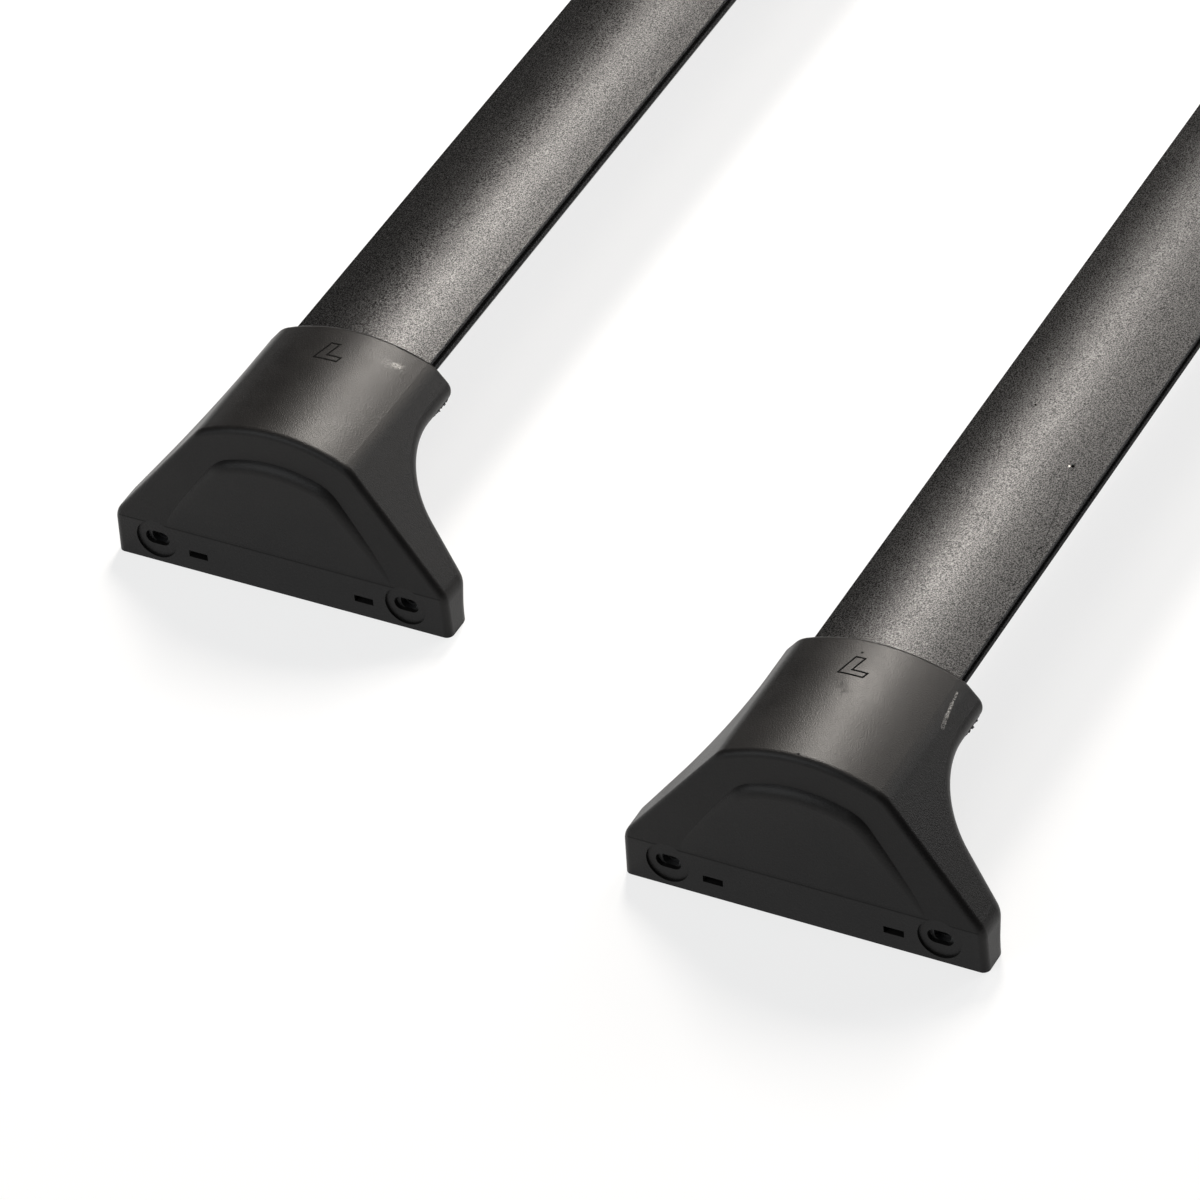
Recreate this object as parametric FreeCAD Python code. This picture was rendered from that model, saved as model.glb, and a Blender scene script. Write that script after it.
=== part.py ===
"""Pair of roof crossbars: two arched aluminium bars, each carried by two moulded feet.

Millimetres, +Z up, +X along the bars to the car's right, +Y to the car's front.
The origin is on the ground at the middle of the set.
"""
import FreeCAD, Part
import math
import os

Vector = FreeCAD.Vector

# The set
CROSSBAR_LENGTH = 1030.0
CROSSBAR_SPACING = 282.0
CROSSBAR_STAGGER = 99.0

# Bar section
BAR_WIDTH = 62.8
BAR_HEIGHT = 23.0
BAR_CROWN = 6.6
BAR_SIDE_HEIGHT = 6.0
BAR_FLOOR_WIDTH = 40.0
BAR_BILGE = 1.6
BAR_WALL = 2.4
BAR_FLOOR_WALL = 4.5
BAR_WEB = 2.2
BAR_WEB_SPACING = 30.0
BAR_EDGE_ROUND = 0.8
GROOVE_HEIGHT = 2.6
GROOVE_DEPTH = 1.8
GROOVE_DROP = 1.2
BAR_END_SETBACK = 11.0

# Foot, outside
FOOT_LENGTH = 80.0
FOOT_WIDTH = 154.0
SHOULDER_WIDTH = 153.0
SHOULDER_HEIGHT = 20.0
SHOULDER_ROUND = 10.0
TOP_WIDTH = 70.0
TOP_RADIUS = 80.0
TOP_EDGE_ROUND = 12.0
END_LEAN_DEGREES = 6.0
END_ROUND = 3.0
BASE_DEPTH = 22.0
THROAT_RADIUS = 34.0
SLEEVE_UNDERSIDE = 46.6
FLANK_DEPTH = 17.0
FLANK_DROP = 11.0
FLANK_LEAN_DEGREES = 15.0
FLANK_FOOT_RADIUS = 20.0
FLANK_CURVE_RADIUS = 36.0
FLANK_SETBACK = 15.5
FLANK_ROUND = 6.0
RIM_ROUND = 2.4

# Foot, inside
WALL = 3.0
SLEEVE_LENGTH = 28.0
SLEEVE_FLOOR = 4.4
SLEEVE_ROOF = 3.2
BORE_CLEARANCE = 0.25
WINDOW_WIDTH = 60.0

# Raised panel on the end face
PANEL_MARGIN = 13.0
PANEL_ROUND = 6.0
PANEL_CORNER_ROUND = 20.0
PANEL_LEAN_DEGREES = 2.0
PANEL_SINK = 0.1

# Bottom strip
STRIP_HEIGHT = 19.2
STRIP_CREASE_RADIUS = 12.0
SLOT_SPACING = 115.0
SLOT_LENGTH = 11.0
SLOT_WIDTH = 6.5
SLOT_HEIGHT = 11.3
RECESS_DIAMETER = 18.4
RECESS_DEPTH = 1.0
TAB_SLOT_SPACING = 76.5
TAB_SLOT_LENGTH = 8.6
TAB_SLOT_WIDTH = 3.2
TAB_SLOT_HEIGHT = 8.5

# Bracket
BRACKET_THICKNESS = 3.0
BRACKET_BEND = 2.0
FLANGE_WIDTH = 140.0
FLANGE_FOOT_GAP = 1.5
FLANGE_TOP_GAP = 1.0
TONGUE_WIDTH = 38.0
TONGUE_REACH = 46.0
FLANGE_HOLE_DIAMETER = 7.4
TAB_WINDOW_MARGIN = 1.0

# Bolts and the nuts welded to the bracket
THREAD_GAP = 0.1
HOLE_GAP = 0.3
BOLT_DIAMETER = 6.0
BOLT_PITCH = 18.0
BOLT_GRIP = 5.5
HEAD_ACROSS_FLATS = 10.0
HEAD_HEIGHT = 4.0
NUT_HEIGHT = 5.0
NUT_BORE = 6.0

# Sizes that follow from the driving dimensions
BAR_FLOOR_Z = SLEEVE_UNDERSIDE + SLEEVE_FLOOR + BORE_CLEARANCE
FOOT_TOP = BAR_FLOOR_Z + BAR_HEIGHT + BORE_CLEARANCE + SLEEVE_ROOF
END_LEAN = math.radians(END_LEAN_DEGREES)
FLANK_LEAN = math.radians(FLANK_LEAN_DEGREES)
TOP_SAG = TOP_RADIUS - math.sqrt(TOP_RADIUS ** 2 - (TOP_WIDTH / 2) ** 2)
CREASE_REACH = STRIP_CREASE_RADIUS * math.tan(END_LEAN / 2)
THROAT_X = BASE_DEPTH + THROAT_RADIUS
THROAT_Z = SLEEVE_UNDERSIDE - THROAT_RADIUS
CAVITY_END = FOOT_LENGTH - SLEEVE_LENGTH
TONGUE_Z = BAR_FLOOR_Z - BRACKET_THICKNESS
BOLT_X = (BAR_END_SETBACK + TONGUE_REACH) / 2
FLANGE_BACK = WALL + BRACKET_THICKNESS
OVERSHOOT = 5.0
TOLERANCE = 1e-3


def line(start, end):
    """One straight edge."""
    return Part.LineSegment(start, end).toShape()


def arc(start, middle, end):
    """One circular edge through three points."""
    return Part.Arc(start, middle, end).toShape()


def rod(diameter, length, base, direction):
    """A plain cylinder."""
    return Part.makeCylinder(diameter / 2, length, base, direction)


def block(low, high):
    """A box between two corners."""
    size = high - low
    return Part.makeBox(size.x, size.y, size.z, low)


def hexagon(across_flats, length, base, direction):
    """A hexagonal prism that grows from base along direction."""
    turn = FreeCAD.Rotation(Vector(0, 0, 1), direction)
    radius = across_flats / math.sqrt(3)
    corners = []
    for step in range(7):
        angle = math.radians(60 * step)
        corners.append(base + turn.multVec(Vector(math.cos(angle), math.sin(angle), 0) * radius))
    return Part.Face(Part.makePolygon(corners)).extrude(direction * length)


def edge_points(edge):
    """Five points spread along an edge."""
    first, last = edge.ParameterRange
    return [edge.valueAt(first + (last - first) * step / 4) for step in range(5)]


def main_solid(shape):
    """The body that a cut or a fuse leaves."""
    return max(shape.Solids, key=lambda solid: solid.Volume)


def fillet(shape, radius_at):
    """Rounds each edge for which radius_at gives a radius at its two ends.

    radius_at takes an edge and returns None, or its start and end radius.
    """
    rows = []
    for number, edge in enumerate(shape.Edges, 1):
        radii = radius_at(edge)
        if radii:
            rows.append((number, *radii))
    document = FreeCAD.newDocument()
    base = document.addObject("Part::Feature")
    base.Shape = shape
    rounded = document.addObject("Part::Fillet")
    rounded.Base = base
    rounded.Edges = rows
    document.recompute()
    result = main_solid(rounded.Shape.copy())
    FreeCAD.closeDocument(document.Name)
    return result


# Bar

def bar_prism(grow, start, end):
    """A straight length of the bar's outside section, moved outwards by grow."""
    half = BAR_WIDTH / 2
    edge_z = BAR_FLOOR_Z + BAR_HEIGHT - BAR_CROWN
    side_z = edge_z - BAR_SIDE_HEIGHT
    floor_corner = Vector(start, BAR_FLOOR_WIDTH / 2, BAR_FLOOR_Z)
    side_corner = Vector(start, half, side_z)
    top_corner = Vector(start, half, edge_z)
    crown = Vector(start, 0, BAR_FLOOR_Z + BAR_HEIGHT)
    chord = side_corner - floor_corner
    bilge = (floor_corner + side_corner) * 0.5 + Vector(0, chord.z, -chord.y).normalize() * BAR_BILGE
    other = [Vector(start, -point.y, point.z) for point in (floor_corner, bilge, side_corner, top_corner)]
    wire = Part.Wire([
        line(other[0], floor_corner),
        arc(floor_corner, bilge, side_corner),
        line(side_corner, top_corner),
        arc(top_corner, crown, other[3]),
        line(other[3], other[2]),
        arc(other[2], other[1], other[0]),
    ])
    if grow:
        wire = wire.makeOffset2D(grow, 2)
    return Part.Face(wire).extrude(Vector(end - start, 0, 0))


def bolt_places():
    """Where the bolts through the tongue stand, along X from the strip face."""
    return [BOLT_X + side * BOLT_PITCH / 2 for side in (-1, 1)]


def make_bar():
    """The hollow extrusion with its side grooves, webs and threaded holes."""
    start = BAR_END_SETBACK
    end = CROSSBAR_LENGTH - BAR_END_SETBACK
    groove_top = BAR_FLOOR_Z + BAR_HEIGHT - BAR_CROWN - GROOVE_DROP
    groove_floor = BAR_WIDTH / 2 - GROOVE_DEPTH
    cell_half = groove_floor - BAR_WALL
    cell_floor = BAR_FLOOR_Z + BAR_FLOOR_WALL
    cell_top = BAR_FLOOR_Z + BAR_HEIGHT

    def side_edge(edge):
        points = edge_points(edge)
        along = abs(points[0].x - points[-1].x) > TOLERANCE
        at_side = abs(abs(points[0].y) - BAR_WIDTH / 2) < TOLERANCE
        return (BAR_EDGE_ROUND, BAR_EDGE_ROUND) if along and at_side else None

    bar = fillet(bar_prism(0, start, end), side_edge)
    hollow = bar_prism(-BAR_WALL, start, end)
    hollow = hollow.common(block(Vector(start, -cell_half, cell_floor), Vector(end, cell_half, cell_top)))
    cuts = []
    for side in (-1, 1):
        web_y = side * BAR_WEB_SPACING / 2
        web_low = Vector(start, web_y - BAR_WEB / 2, cell_floor)
        hollow = hollow.cut(block(web_low, Vector(end, web_y + BAR_WEB / 2, cell_top)))
        near, far = sorted((side * groove_floor, side * BAR_WIDTH))
        groove_low = Vector(start, near, groove_top - GROOVE_HEIGHT)
        cuts.append(block(groove_low, Vector(end, far, groove_top)))
    cuts.append(hollow)
    for x in bolt_places():
        for hole_x in (x, CROSSBAR_LENGTH - x):
            base = Vector(hole_x, 0, BAR_FLOOR_Z - OVERSHOOT)
            depth = OVERSHOOT + BAR_FLOOR_WALL + TOLERANCE
            cuts.append(rod(BOLT_DIAMETER + 2 * THREAD_GAP, depth, base, Vector(0, 0, 1)))
    return main_solid(bar.cut(cuts))


# Foot

def flank_outline(inset, x, low):
    """The foot's end outline across X: leaning sides, sloping flanks and an arched top."""
    drift = (FOOT_WIDTH - SHOULDER_WIDTH) / 2 / SHOULDER_HEIGHT
    corners = [
        Vector(x, FOOT_WIDTH / 2 - low * drift, low),
        Vector(x, SHOULDER_WIDTH / 2, SHOULDER_HEIGHT),
        Vector(x, TOP_WIDTH / 2, FOOT_TOP - TOP_SAG),
    ]
    other = [Vector(x, -corner.y, corner.z) for corner in corners]
    wire = Part.Wire([
        line(other[0], corners[0]),
        line(corners[0], corners[1]),
        line(corners[1], corners[2]),
        arc(corners[2], Vector(x, 0, FOOT_TOP), other[2]),
        line(other[2], other[1]),
        line(other[1], other[0]),
    ])
    return wire.makeOffset2D(-inset, 2) if inset else wire


def flank_prism(inset, low):
    """The end outline drawn out along the whole foot, with its long edges rounded."""
    face = Part.Face(flank_outline(inset, 0, low))
    middle = (SHOULDER_HEIGHT + FOOT_TOP) / 2

    def long_edge(edge):
        points = edge_points(edge)
        if abs(points[0].x - points[-1].x) < TOLERANCE or points[0].z < SHOULDER_HEIGHT / 2:
            return None
        radius = (TOP_EDGE_ROUND if points[0].z > middle else SHOULDER_ROUND) - inset
        return (radius, radius)

    return fillet(face.extrude(Vector(FOOT_LENGTH, 0, 0)), long_edge)


def front_line(inset, height):
    """The end wall from below the strip's crease to a height: straight, softly creased, leaning in."""
    centre = Vector(STRIP_CREASE_RADIUS, 0, STRIP_HEIGHT - CREASE_REACH)
    radius = STRIP_CREASE_RADIUS - inset

    def on_crease(angle):
        return centre + Vector(-math.cos(angle), 0, math.sin(angle)) * radius

    crease_end = on_crease(END_LEAN)
    top = crease_end + Vector(math.tan(END_LEAN), 0, 1) * (height - crease_end.z)
    return [on_crease(0), on_crease(END_LEAN / 2), crease_end, top]


def side_prism(inset, low):
    """The foot's side view drawn across its width: end wall, sleeve, throat and base."""
    high = FOOT_TOP + OVERSHOOT
    crease_start, crease_middle, crease_end, front_top = front_line(inset, high)
    radius = THROAT_RADIUS + inset
    slant = radius * math.sqrt(0.5)
    under = THROAT_Z + radius
    back = THROAT_X - radius
    start = Vector(inset, 0, low)
    corners = [
        front_top,
        Vector(FOOT_LENGTH, 0, high),
        Vector(FOOT_LENGTH, 0, under),
        Vector(THROAT_X, 0, under),
    ]
    throat_end = Vector(back, 0, THROAT_Z)
    edges = [line(start, crease_start), arc(crease_start, crease_middle, crease_end)]
    edges.append(line(crease_end, front_top))
    edges += [line(corners[step], corners[step + 1]) for step in range(3)]
    edges.append(arc(corners[3], Vector(THROAT_X - slant, 0, THROAT_Z + slant), throat_end))
    edges.append(line(throat_end, Vector(back, 0, low)))
    edges.append(line(Vector(back, 0, low), start))
    prism = Part.Face(Part.Wire(edges)).extrude(Vector(0, 2 * FOOT_WIDTH, 0))
    prism.translate(Vector(0, -FOOT_WIDTH, 0))
    return prism


def flank_slope():
    """Where one flank starts at the shoulder, the direction up its slope and its outward normal."""
    shoulder = Vector(0, SHOULDER_WIDTH / 2, SHOULDER_HEIGHT)
    up = Vector(0, TOP_WIDTH / 2, FOOT_TOP - TOP_SAG) - shoulder
    up.normalize()
    return shoulder, up, Vector(0, up.z, -up.y)


def flank_centres():
    """The middles of the two arcs of a flank's rear edge, as places along X and up the slope."""
    up = flank_slope()[1]
    foot_x = FLANK_DEPTH + FLANK_FOOT_RADIUS
    sleeve_edge = (SLEEVE_UNDERSIDE - SHOULDER_HEIGHT) / up.z + FLANK_SETBACK
    curve_rise = sleeve_edge - FLANK_CURVE_RADIUS
    growth = FLANK_CURVE_RADIUS - FLANK_FOOT_RADIUS
    sideways = growth + math.sin(FLANK_LEAN) * (curve_rise + FLANK_DROP)
    curve_x = foot_x + sideways / math.cos(FLANK_LEAN)
    return (foot_x, -FLANK_DROP), (curve_x, curve_rise)


def flank_cutters(inset):
    """Cutters square to each flank that shape its rear edge: upright at the base, leaning, hollow."""
    shoulder, up, normal = flank_slope()
    foot, curve = flank_centres()
    foot_radius = FLANK_FOOT_RADIUS + inset
    curve_radius = FLANK_CURVE_RADIUS + inset
    outside = shoulder + normal * OVERSHOOT

    def place(x, rise):
        return outside + Vector(x, 0, 0) + up * rise

    def on_arc(centre, radius, angle):
        return place(centre[0] - radius * math.cos(angle), centre[1] + radius * math.sin(angle))

    end = FOOT_LENGTH + OVERSHOOT
    low = -2 * SHOULDER_HEIGHT
    foot_start = on_arc(foot, foot_radius, 0)
    foot_middle = on_arc(foot, foot_radius, FLANK_LEAN / 2)
    foot_end = on_arc(foot, foot_radius, FLANK_LEAN)
    curve_start = on_arc(curve, curve_radius, FLANK_LEAN)
    curve_middle = on_arc(curve, curve_radius, (FLANK_LEAN + math.pi / 2) / 2)
    curve_end = on_arc(curve, curve_radius, math.pi / 2)
    base = place(foot[0] - foot_radius, low)
    corners = [curve_end, place(end, curve[1] + curve_radius), place(end, low), base, foot_start]
    edges = [line(corners[step], corners[step + 1]) for step in range(4)]
    edges.append(arc(foot_start, foot_middle, foot_end))
    edges.append(line(foot_end, curve_start))
    edges.append(arc(curve_start, curve_middle, curve_end))
    cutter = Part.Face(Part.Wire(edges)).extrude(normal * -(OVERSHOOT + SHOULDER_WIDTH / 2))
    return [cutter, cutter.mirror(Vector(0, 0, 0), Vector(0, 1, 0))]


def foot_form(inset, low):
    """The foot's solid form moved inwards by inset, before its edges are rounded."""
    form = flank_prism(inset, low).common(side_prism(inset, low))
    return main_solid(form.cut(flank_cutters(inset)).removeSplitter())


def round_rear(form):
    """Rounds the outer edge along the base's back, the throat and the sleeve."""
    cutters = Part.makeCompound(flank_cutters(0))

    def is_outside(normal, point):
        along = abs(normal.x) < TOLERANCE
        return along and normal.z > -TOLERANCE and normal.y * point.y > 0

    def rear_edge(edge):
        points = edge_points(edge)
        faces = form.ancestorsOfType(edge, Part.Face)
        normals = [face.normalAt(*face.Surface.parameter(points[2])) for face in faces]
        square = abs(normals[0].dot(normals[1])) < TOLERANCE
        touching = cutters.distToShape(Part.Vertex(points[2]))[0] < TOLERANCE
        at_end = min(point.x for point in points) > FOOT_LENGTH - TOLERANCE
        outside = any(is_outside(normal, points[2]) for normal in normals)
        return (FLANK_ROUND, FLANK_ROUND) if square and touching and outside and not at_end else None

    return fillet(form, rear_edge)


def round_rim(form):
    """Rounds the sleeve's outer edge where the bar comes out."""
    def rim_edge(edge):
        at_rim = min(point.x for point in edge_points(edge)) > FOOT_LENGTH - TOLERANCE
        return (RIM_ROUND, RIM_ROUND) if at_rim else None

    return fillet(form, rim_edge)


def round_end(form):
    """Rounds the edge between the foot's end face and its sides and top."""
    front = FOOT_LENGTH / 4

    def end_edge(edge):
        points = edge_points(edge)
        heights = [point.z for point in points]
        level = max(heights) - min(heights) < TOLERANCE
        if level or max(point.x for point in points) > front:
            return None
        faces = form.ancestorsOfType(edge, Part.Face)
        normals = [face.normalAt(*face.Surface.parameter(points[2])) for face in faces]
        facing = [normal.x < -math.cos(2 * END_LEAN) for normal in normals]
        return (END_ROUND, END_ROUND) if any(facing) and not all(facing) else None

    return fillet(form, end_edge)


def make_panel():
    """The raised panel: an arched plate with a rounded edge, leaning back a little from the strip."""
    low = STRIP_HEIGHT - CREASE_REACH
    outline = Part.Face(flank_outline(PANEL_MARGIN, 0, low - PANEL_MARGIN))
    middle = (STRIP_HEIGHT + FOOT_TOP) / 2

    def upper_corner(edge):
        points = edge_points(edge)
        along = abs(points[0].x - points[-1].x) > TOLERANCE
        return (PANEL_CORNER_ROUND, PANEL_CORNER_ROUND) if along and points[0].z > middle else None

    def front_edge(edge):
        points = edge_points(edge)
        front = max(point.x for point in points) < TOLERANCE
        above = max(point.z for point in points) > low + TOLERANCE
        return (PANEL_ROUND, PANEL_ROUND) if front and above else None

    plate = outline.extrude(Vector(PANEL_ROUND + OVERSHOOT, 0, 0))
    panel = fillet(fillet(plate, upper_corner), front_edge)
    panel.rotate(Vector(0, 0, STRIP_HEIGHT), Vector(0, 1, 0), PANEL_LEAN_DEGREES)
    panel.translate(Vector(PANEL_SINK, 0, 0))
    return panel


def obround(length, width, y, z, start, end):
    """A slot cutter along X: a width-wide slot of the given length across Y."""
    reach = (length - width) / 2
    cutter = block(Vector(start, y - reach, z - width / 2), Vector(end, y + reach, z + width / 2))
    for side in (-1, 1):
        cutter = cutter.fuse(rod(width, end - start, Vector(start, y + side * reach, z), Vector(1, 0, 0)))
    return cutter.removeSplitter()


def strip_cuts():
    """The bolt slots in their round recesses and the slots for the clamp's tabs."""
    cuts = []
    for side in (-1, 1):
        bolt_y = side * SLOT_SPACING / 2
        seat = Vector(-OVERSHOOT, bolt_y, SLOT_HEIGHT)
        cuts.append(rod(RECESS_DIAMETER, OVERSHOOT + RECESS_DEPTH, seat, Vector(1, 0, 0)))
        cuts.append(obround(SLOT_LENGTH, SLOT_WIDTH, bolt_y, SLOT_HEIGHT, -OVERSHOOT, FLANGE_BACK))
        tab_y = side * TAB_SLOT_SPACING / 2
        half = Vector(0, TAB_SLOT_LENGTH / 2, TAB_SLOT_WIDTH / 2)
        low = Vector(-OVERSHOOT, tab_y, TAB_SLOT_HEIGHT) - half
        cuts.append(block(low, Vector(FLANGE_BACK, tab_y, TAB_SLOT_HEIGHT) + half))
    return cuts


def make_foot():
    """The moulded foot: open shell, sleeve round the bar, end panel and strip."""
    foot = round_end(round_rim(round_rear(foot_form(0, 0)))).fuse(make_panel())
    cavity = foot_form(WALL, -OVERSHOOT)
    room = block(Vector(0, -FOOT_WIDTH, -2 * OVERSHOOT), Vector(CAVITY_END, FOOT_WIDTH, 2 * FOOT_TOP))
    window_low = Vector(BASE_DEPTH - WALL - TOLERANCE, -WINDOW_WIDTH / 2, -OVERSHOOT)
    window = block(window_low, Vector(CAVITY_END, WINDOW_WIDTH / 2, BAR_FLOOR_Z))
    bore = bar_prism(BORE_CLEARANCE, CAVITY_END - OVERSHOOT, FOOT_LENGTH + OVERSHOOT)
    cuts = [cavity.common(room), window, bore]
    return main_solid(foot.cut(cuts + strip_cuts()).removeSplitter())


# Bracket and bolts

def make_bracket():
    """The pressed plate: a wide flange behind the strip, a leaning riser and a tongue under the bar.

    A nut is welded on the flange behind each bolt slot.
    """
    low = FLANGE_FOOT_GAP
    crease_start, crease_middle, crease_end, front_top = front_line(WALL, BAR_FLOOR_Z)
    back_start, back_middle, back_end, back_top = front_line(FLANGE_BACK, TONGUE_Z)
    edges = [
        line(Vector(WALL, 0, low), crease_start),
        arc(crease_start, crease_middle, crease_end),
        line(crease_end, front_top),
        line(front_top, Vector(TONGUE_REACH, 0, BAR_FLOOR_Z)),
        line(Vector(TONGUE_REACH, 0, BAR_FLOOR_Z), Vector(TONGUE_REACH, 0, TONGUE_Z)),
        line(Vector(TONGUE_REACH, 0, TONGUE_Z), back_top),
        line(back_top, back_end),
        arc(back_end, back_middle, back_start),
        line(back_start, Vector(FLANGE_BACK, 0, low)),
        line(Vector(FLANGE_BACK, 0, low), Vector(WALL, 0, low)),
    ]
    tongue = Part.Face(Part.Wire(edges)).extrude(Vector(0, TONGUE_WIDTH, 0))
    tongue.translate(Vector(0, -TONGUE_WIDTH / 2, 0))

    def bend_edge(edge):
        points = edge_points(edge)
        if abs(points[0].y - points[-1].y) < TOLERANCE:
            return None
        if points[0].distanceToPoint(Vector(front_top.x, points[0].y, front_top.z)) < TOLERANCE:
            return (BRACKET_BEND + BRACKET_THICKNESS, BRACKET_BEND + BRACKET_THICKNESS)
        if points[0].distanceToPoint(Vector(back_top.x, points[0].y, back_top.z)) < TOLERANCE:
            return (BRACKET_BEND, BRACKET_BEND)
        return None

    tongue = fillet(tongue, bend_edge)
    flange_top = STRIP_HEIGHT - CREASE_REACH - FLANGE_TOP_GAP
    flange_low = Vector(WALL, -FLANGE_WIDTH / 2, low)
    bracket = tongue.fuse(block(flange_low, Vector(FLANGE_BACK, FLANGE_WIDTH / 2, flange_top)))
    cuts = []
    for side in (-1, 1):
        hole = Vector(0, side * SLOT_SPACING / 2, SLOT_HEIGHT)
        nut_base = hole + Vector(FLANGE_BACK, 0, 0)
        bracket = bracket.fuse(hexagon(HEAD_ACROSS_FLATS, NUT_HEIGHT, nut_base, Vector(1, 0, 0)))
        cuts.append(rod(FLANGE_HOLE_DIAMETER, FLANGE_BACK, hole, Vector(1, 0, 0)))
        cuts.append(rod(NUT_BORE, NUT_HEIGHT + OVERSHOOT, nut_base, Vector(1, 0, 0)))
        half_y = TAB_SLOT_LENGTH / 2 + TAB_WINDOW_MARGIN
        half_z = TAB_SLOT_WIDTH / 2 + TAB_WINDOW_MARGIN
        tab = Vector(0, side * TAB_SLOT_SPACING / 2, TAB_SLOT_HEIGHT)
        half = Vector(0, half_y, half_z)
        through = Vector(FLANGE_BACK + OVERSHOOT, 0, 0)
        cuts.append(block(tab - half, tab + half + through))
    for x in bolt_places():
        base = Vector(x, 0, TONGUE_Z - OVERSHOOT)
        hole_length = BRACKET_THICKNESS + 2 * OVERSHOOT
        cuts.append(rod(BOLT_DIAMETER + 2 * HOLE_GAP, hole_length, base, Vector(0, 0, 1)))
    return main_solid(bracket.cut(cuts).removeSplitter())


def make_bolts():
    """The two hexagon bolts from below that hold the tongue to the bar."""
    up = Vector(0, 0, 1)
    bolts = []
    for x in bolt_places():
        seat = Vector(x, 0, TONGUE_Z)
        shank = rod(BOLT_DIAMETER, BRACKET_THICKNESS + BOLT_GRIP, seat, up)
        bolts.append(shank.fuse(hexagon(HEAD_ACROSS_FLATS, HEAD_HEIGHT, seat - up * HEAD_HEIGHT, up)))
    return Part.makeCompound([main_solid(bolt.removeSplitter()) for bolt in bolts])


# The set of two crossbars

def write_part(name, shape):
    """Writes one node's solids."""
    shape.exportStep(os.path.join("parts", name + ".step"))


def main():
    """Builds the pieces of one crossbar once and places them four or two times."""
    os.makedirs("parts", exist_ok=True)
    bar = make_bar()
    end_pieces = {
        "foot": make_foot(),
        "bracket": make_bracket(),
        "bolts": make_bolts(),
    }
    middle = Vector(CROSSBAR_LENGTH / 2, 0, 0)
    for crossbar, side in (("front", 1), ("rear", -1)):
        place = Vector(side * CROSSBAR_STAGGER / 2, side * CROSSBAR_SPACING / 2, 0) - middle
        write_part(crossbar + "_bar", bar.translated(place))
        for piece, shape in end_pieces.items():
            opposite = shape.mirror(middle, Vector(1, 0, 0))
            write_part(crossbar + "_left_" + piece, shape.translated(place))
            write_part(crossbar + "_right_" + piece, opposite.translated(place))


main()
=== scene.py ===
"""Dresses the pair of roof crossbars: finishes, raised side letters, wear, painted shade, studio and
camera.
"""

import logging
import math
import random
from dataclasses import dataclass, field
from enum import Enum
from typing import Sequence

import bpy
from mathutils import Matrix, Vector

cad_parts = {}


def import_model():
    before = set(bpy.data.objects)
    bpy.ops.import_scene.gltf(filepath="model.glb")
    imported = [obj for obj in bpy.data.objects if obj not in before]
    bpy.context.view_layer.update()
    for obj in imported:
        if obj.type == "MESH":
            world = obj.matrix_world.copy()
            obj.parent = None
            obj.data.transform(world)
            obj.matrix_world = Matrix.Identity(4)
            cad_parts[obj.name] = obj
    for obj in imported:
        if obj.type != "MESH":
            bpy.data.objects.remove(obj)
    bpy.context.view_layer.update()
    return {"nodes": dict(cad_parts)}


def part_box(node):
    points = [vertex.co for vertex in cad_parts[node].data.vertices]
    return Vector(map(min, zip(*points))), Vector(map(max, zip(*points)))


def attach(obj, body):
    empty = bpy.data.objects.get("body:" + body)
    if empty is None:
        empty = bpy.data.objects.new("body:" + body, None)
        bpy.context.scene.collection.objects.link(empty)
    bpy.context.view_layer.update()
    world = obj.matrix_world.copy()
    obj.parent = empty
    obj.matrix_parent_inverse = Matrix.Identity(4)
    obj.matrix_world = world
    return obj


log = logging.getLogger("roof_crossbars")

Point = tuple[float, float]
Place = tuple[float, float, float]
Colour = tuple[float, float, float]
Span = tuple[float, float]
Socket = bpy.types.NodeSocket

MM = 0.001
NOISE_SPAN = (0.3, 0.7)
MARK_CORE = 0.4
SHORTEST_RUN_SQUARED = 1e-12
PATCH_SPAN = (0.45, 0.62)
PATCH_DETAIL = 3.0
PATCH_ROUGHNESS = 0.7


class Side(Enum):
    """The side of the car on which a foot stands, with the letter that it bears."""

    LEFT = "L"
    RIGHT = "R"


class End(Enum):
    """The crossbar to which a piece belongs."""

    FRONT = "front"
    REAR = "rear"


class Slot(Enum):
    """The record's material slots."""

    BAR = "bar"
    FOOT = "foot"
    BRACKET = "bracket"
    FASTENER = "fastener"


class Tint(Enum):
    """The colours of the studio's lamps."""

    WARM = (1.0, 0.945, 0.88)
    PALE = (1.0, 0.98, 0.96)
    WHITE = (1.0, 1.0, 1.0)
    COOL = (0.95, 0.98, 1.0)


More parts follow.
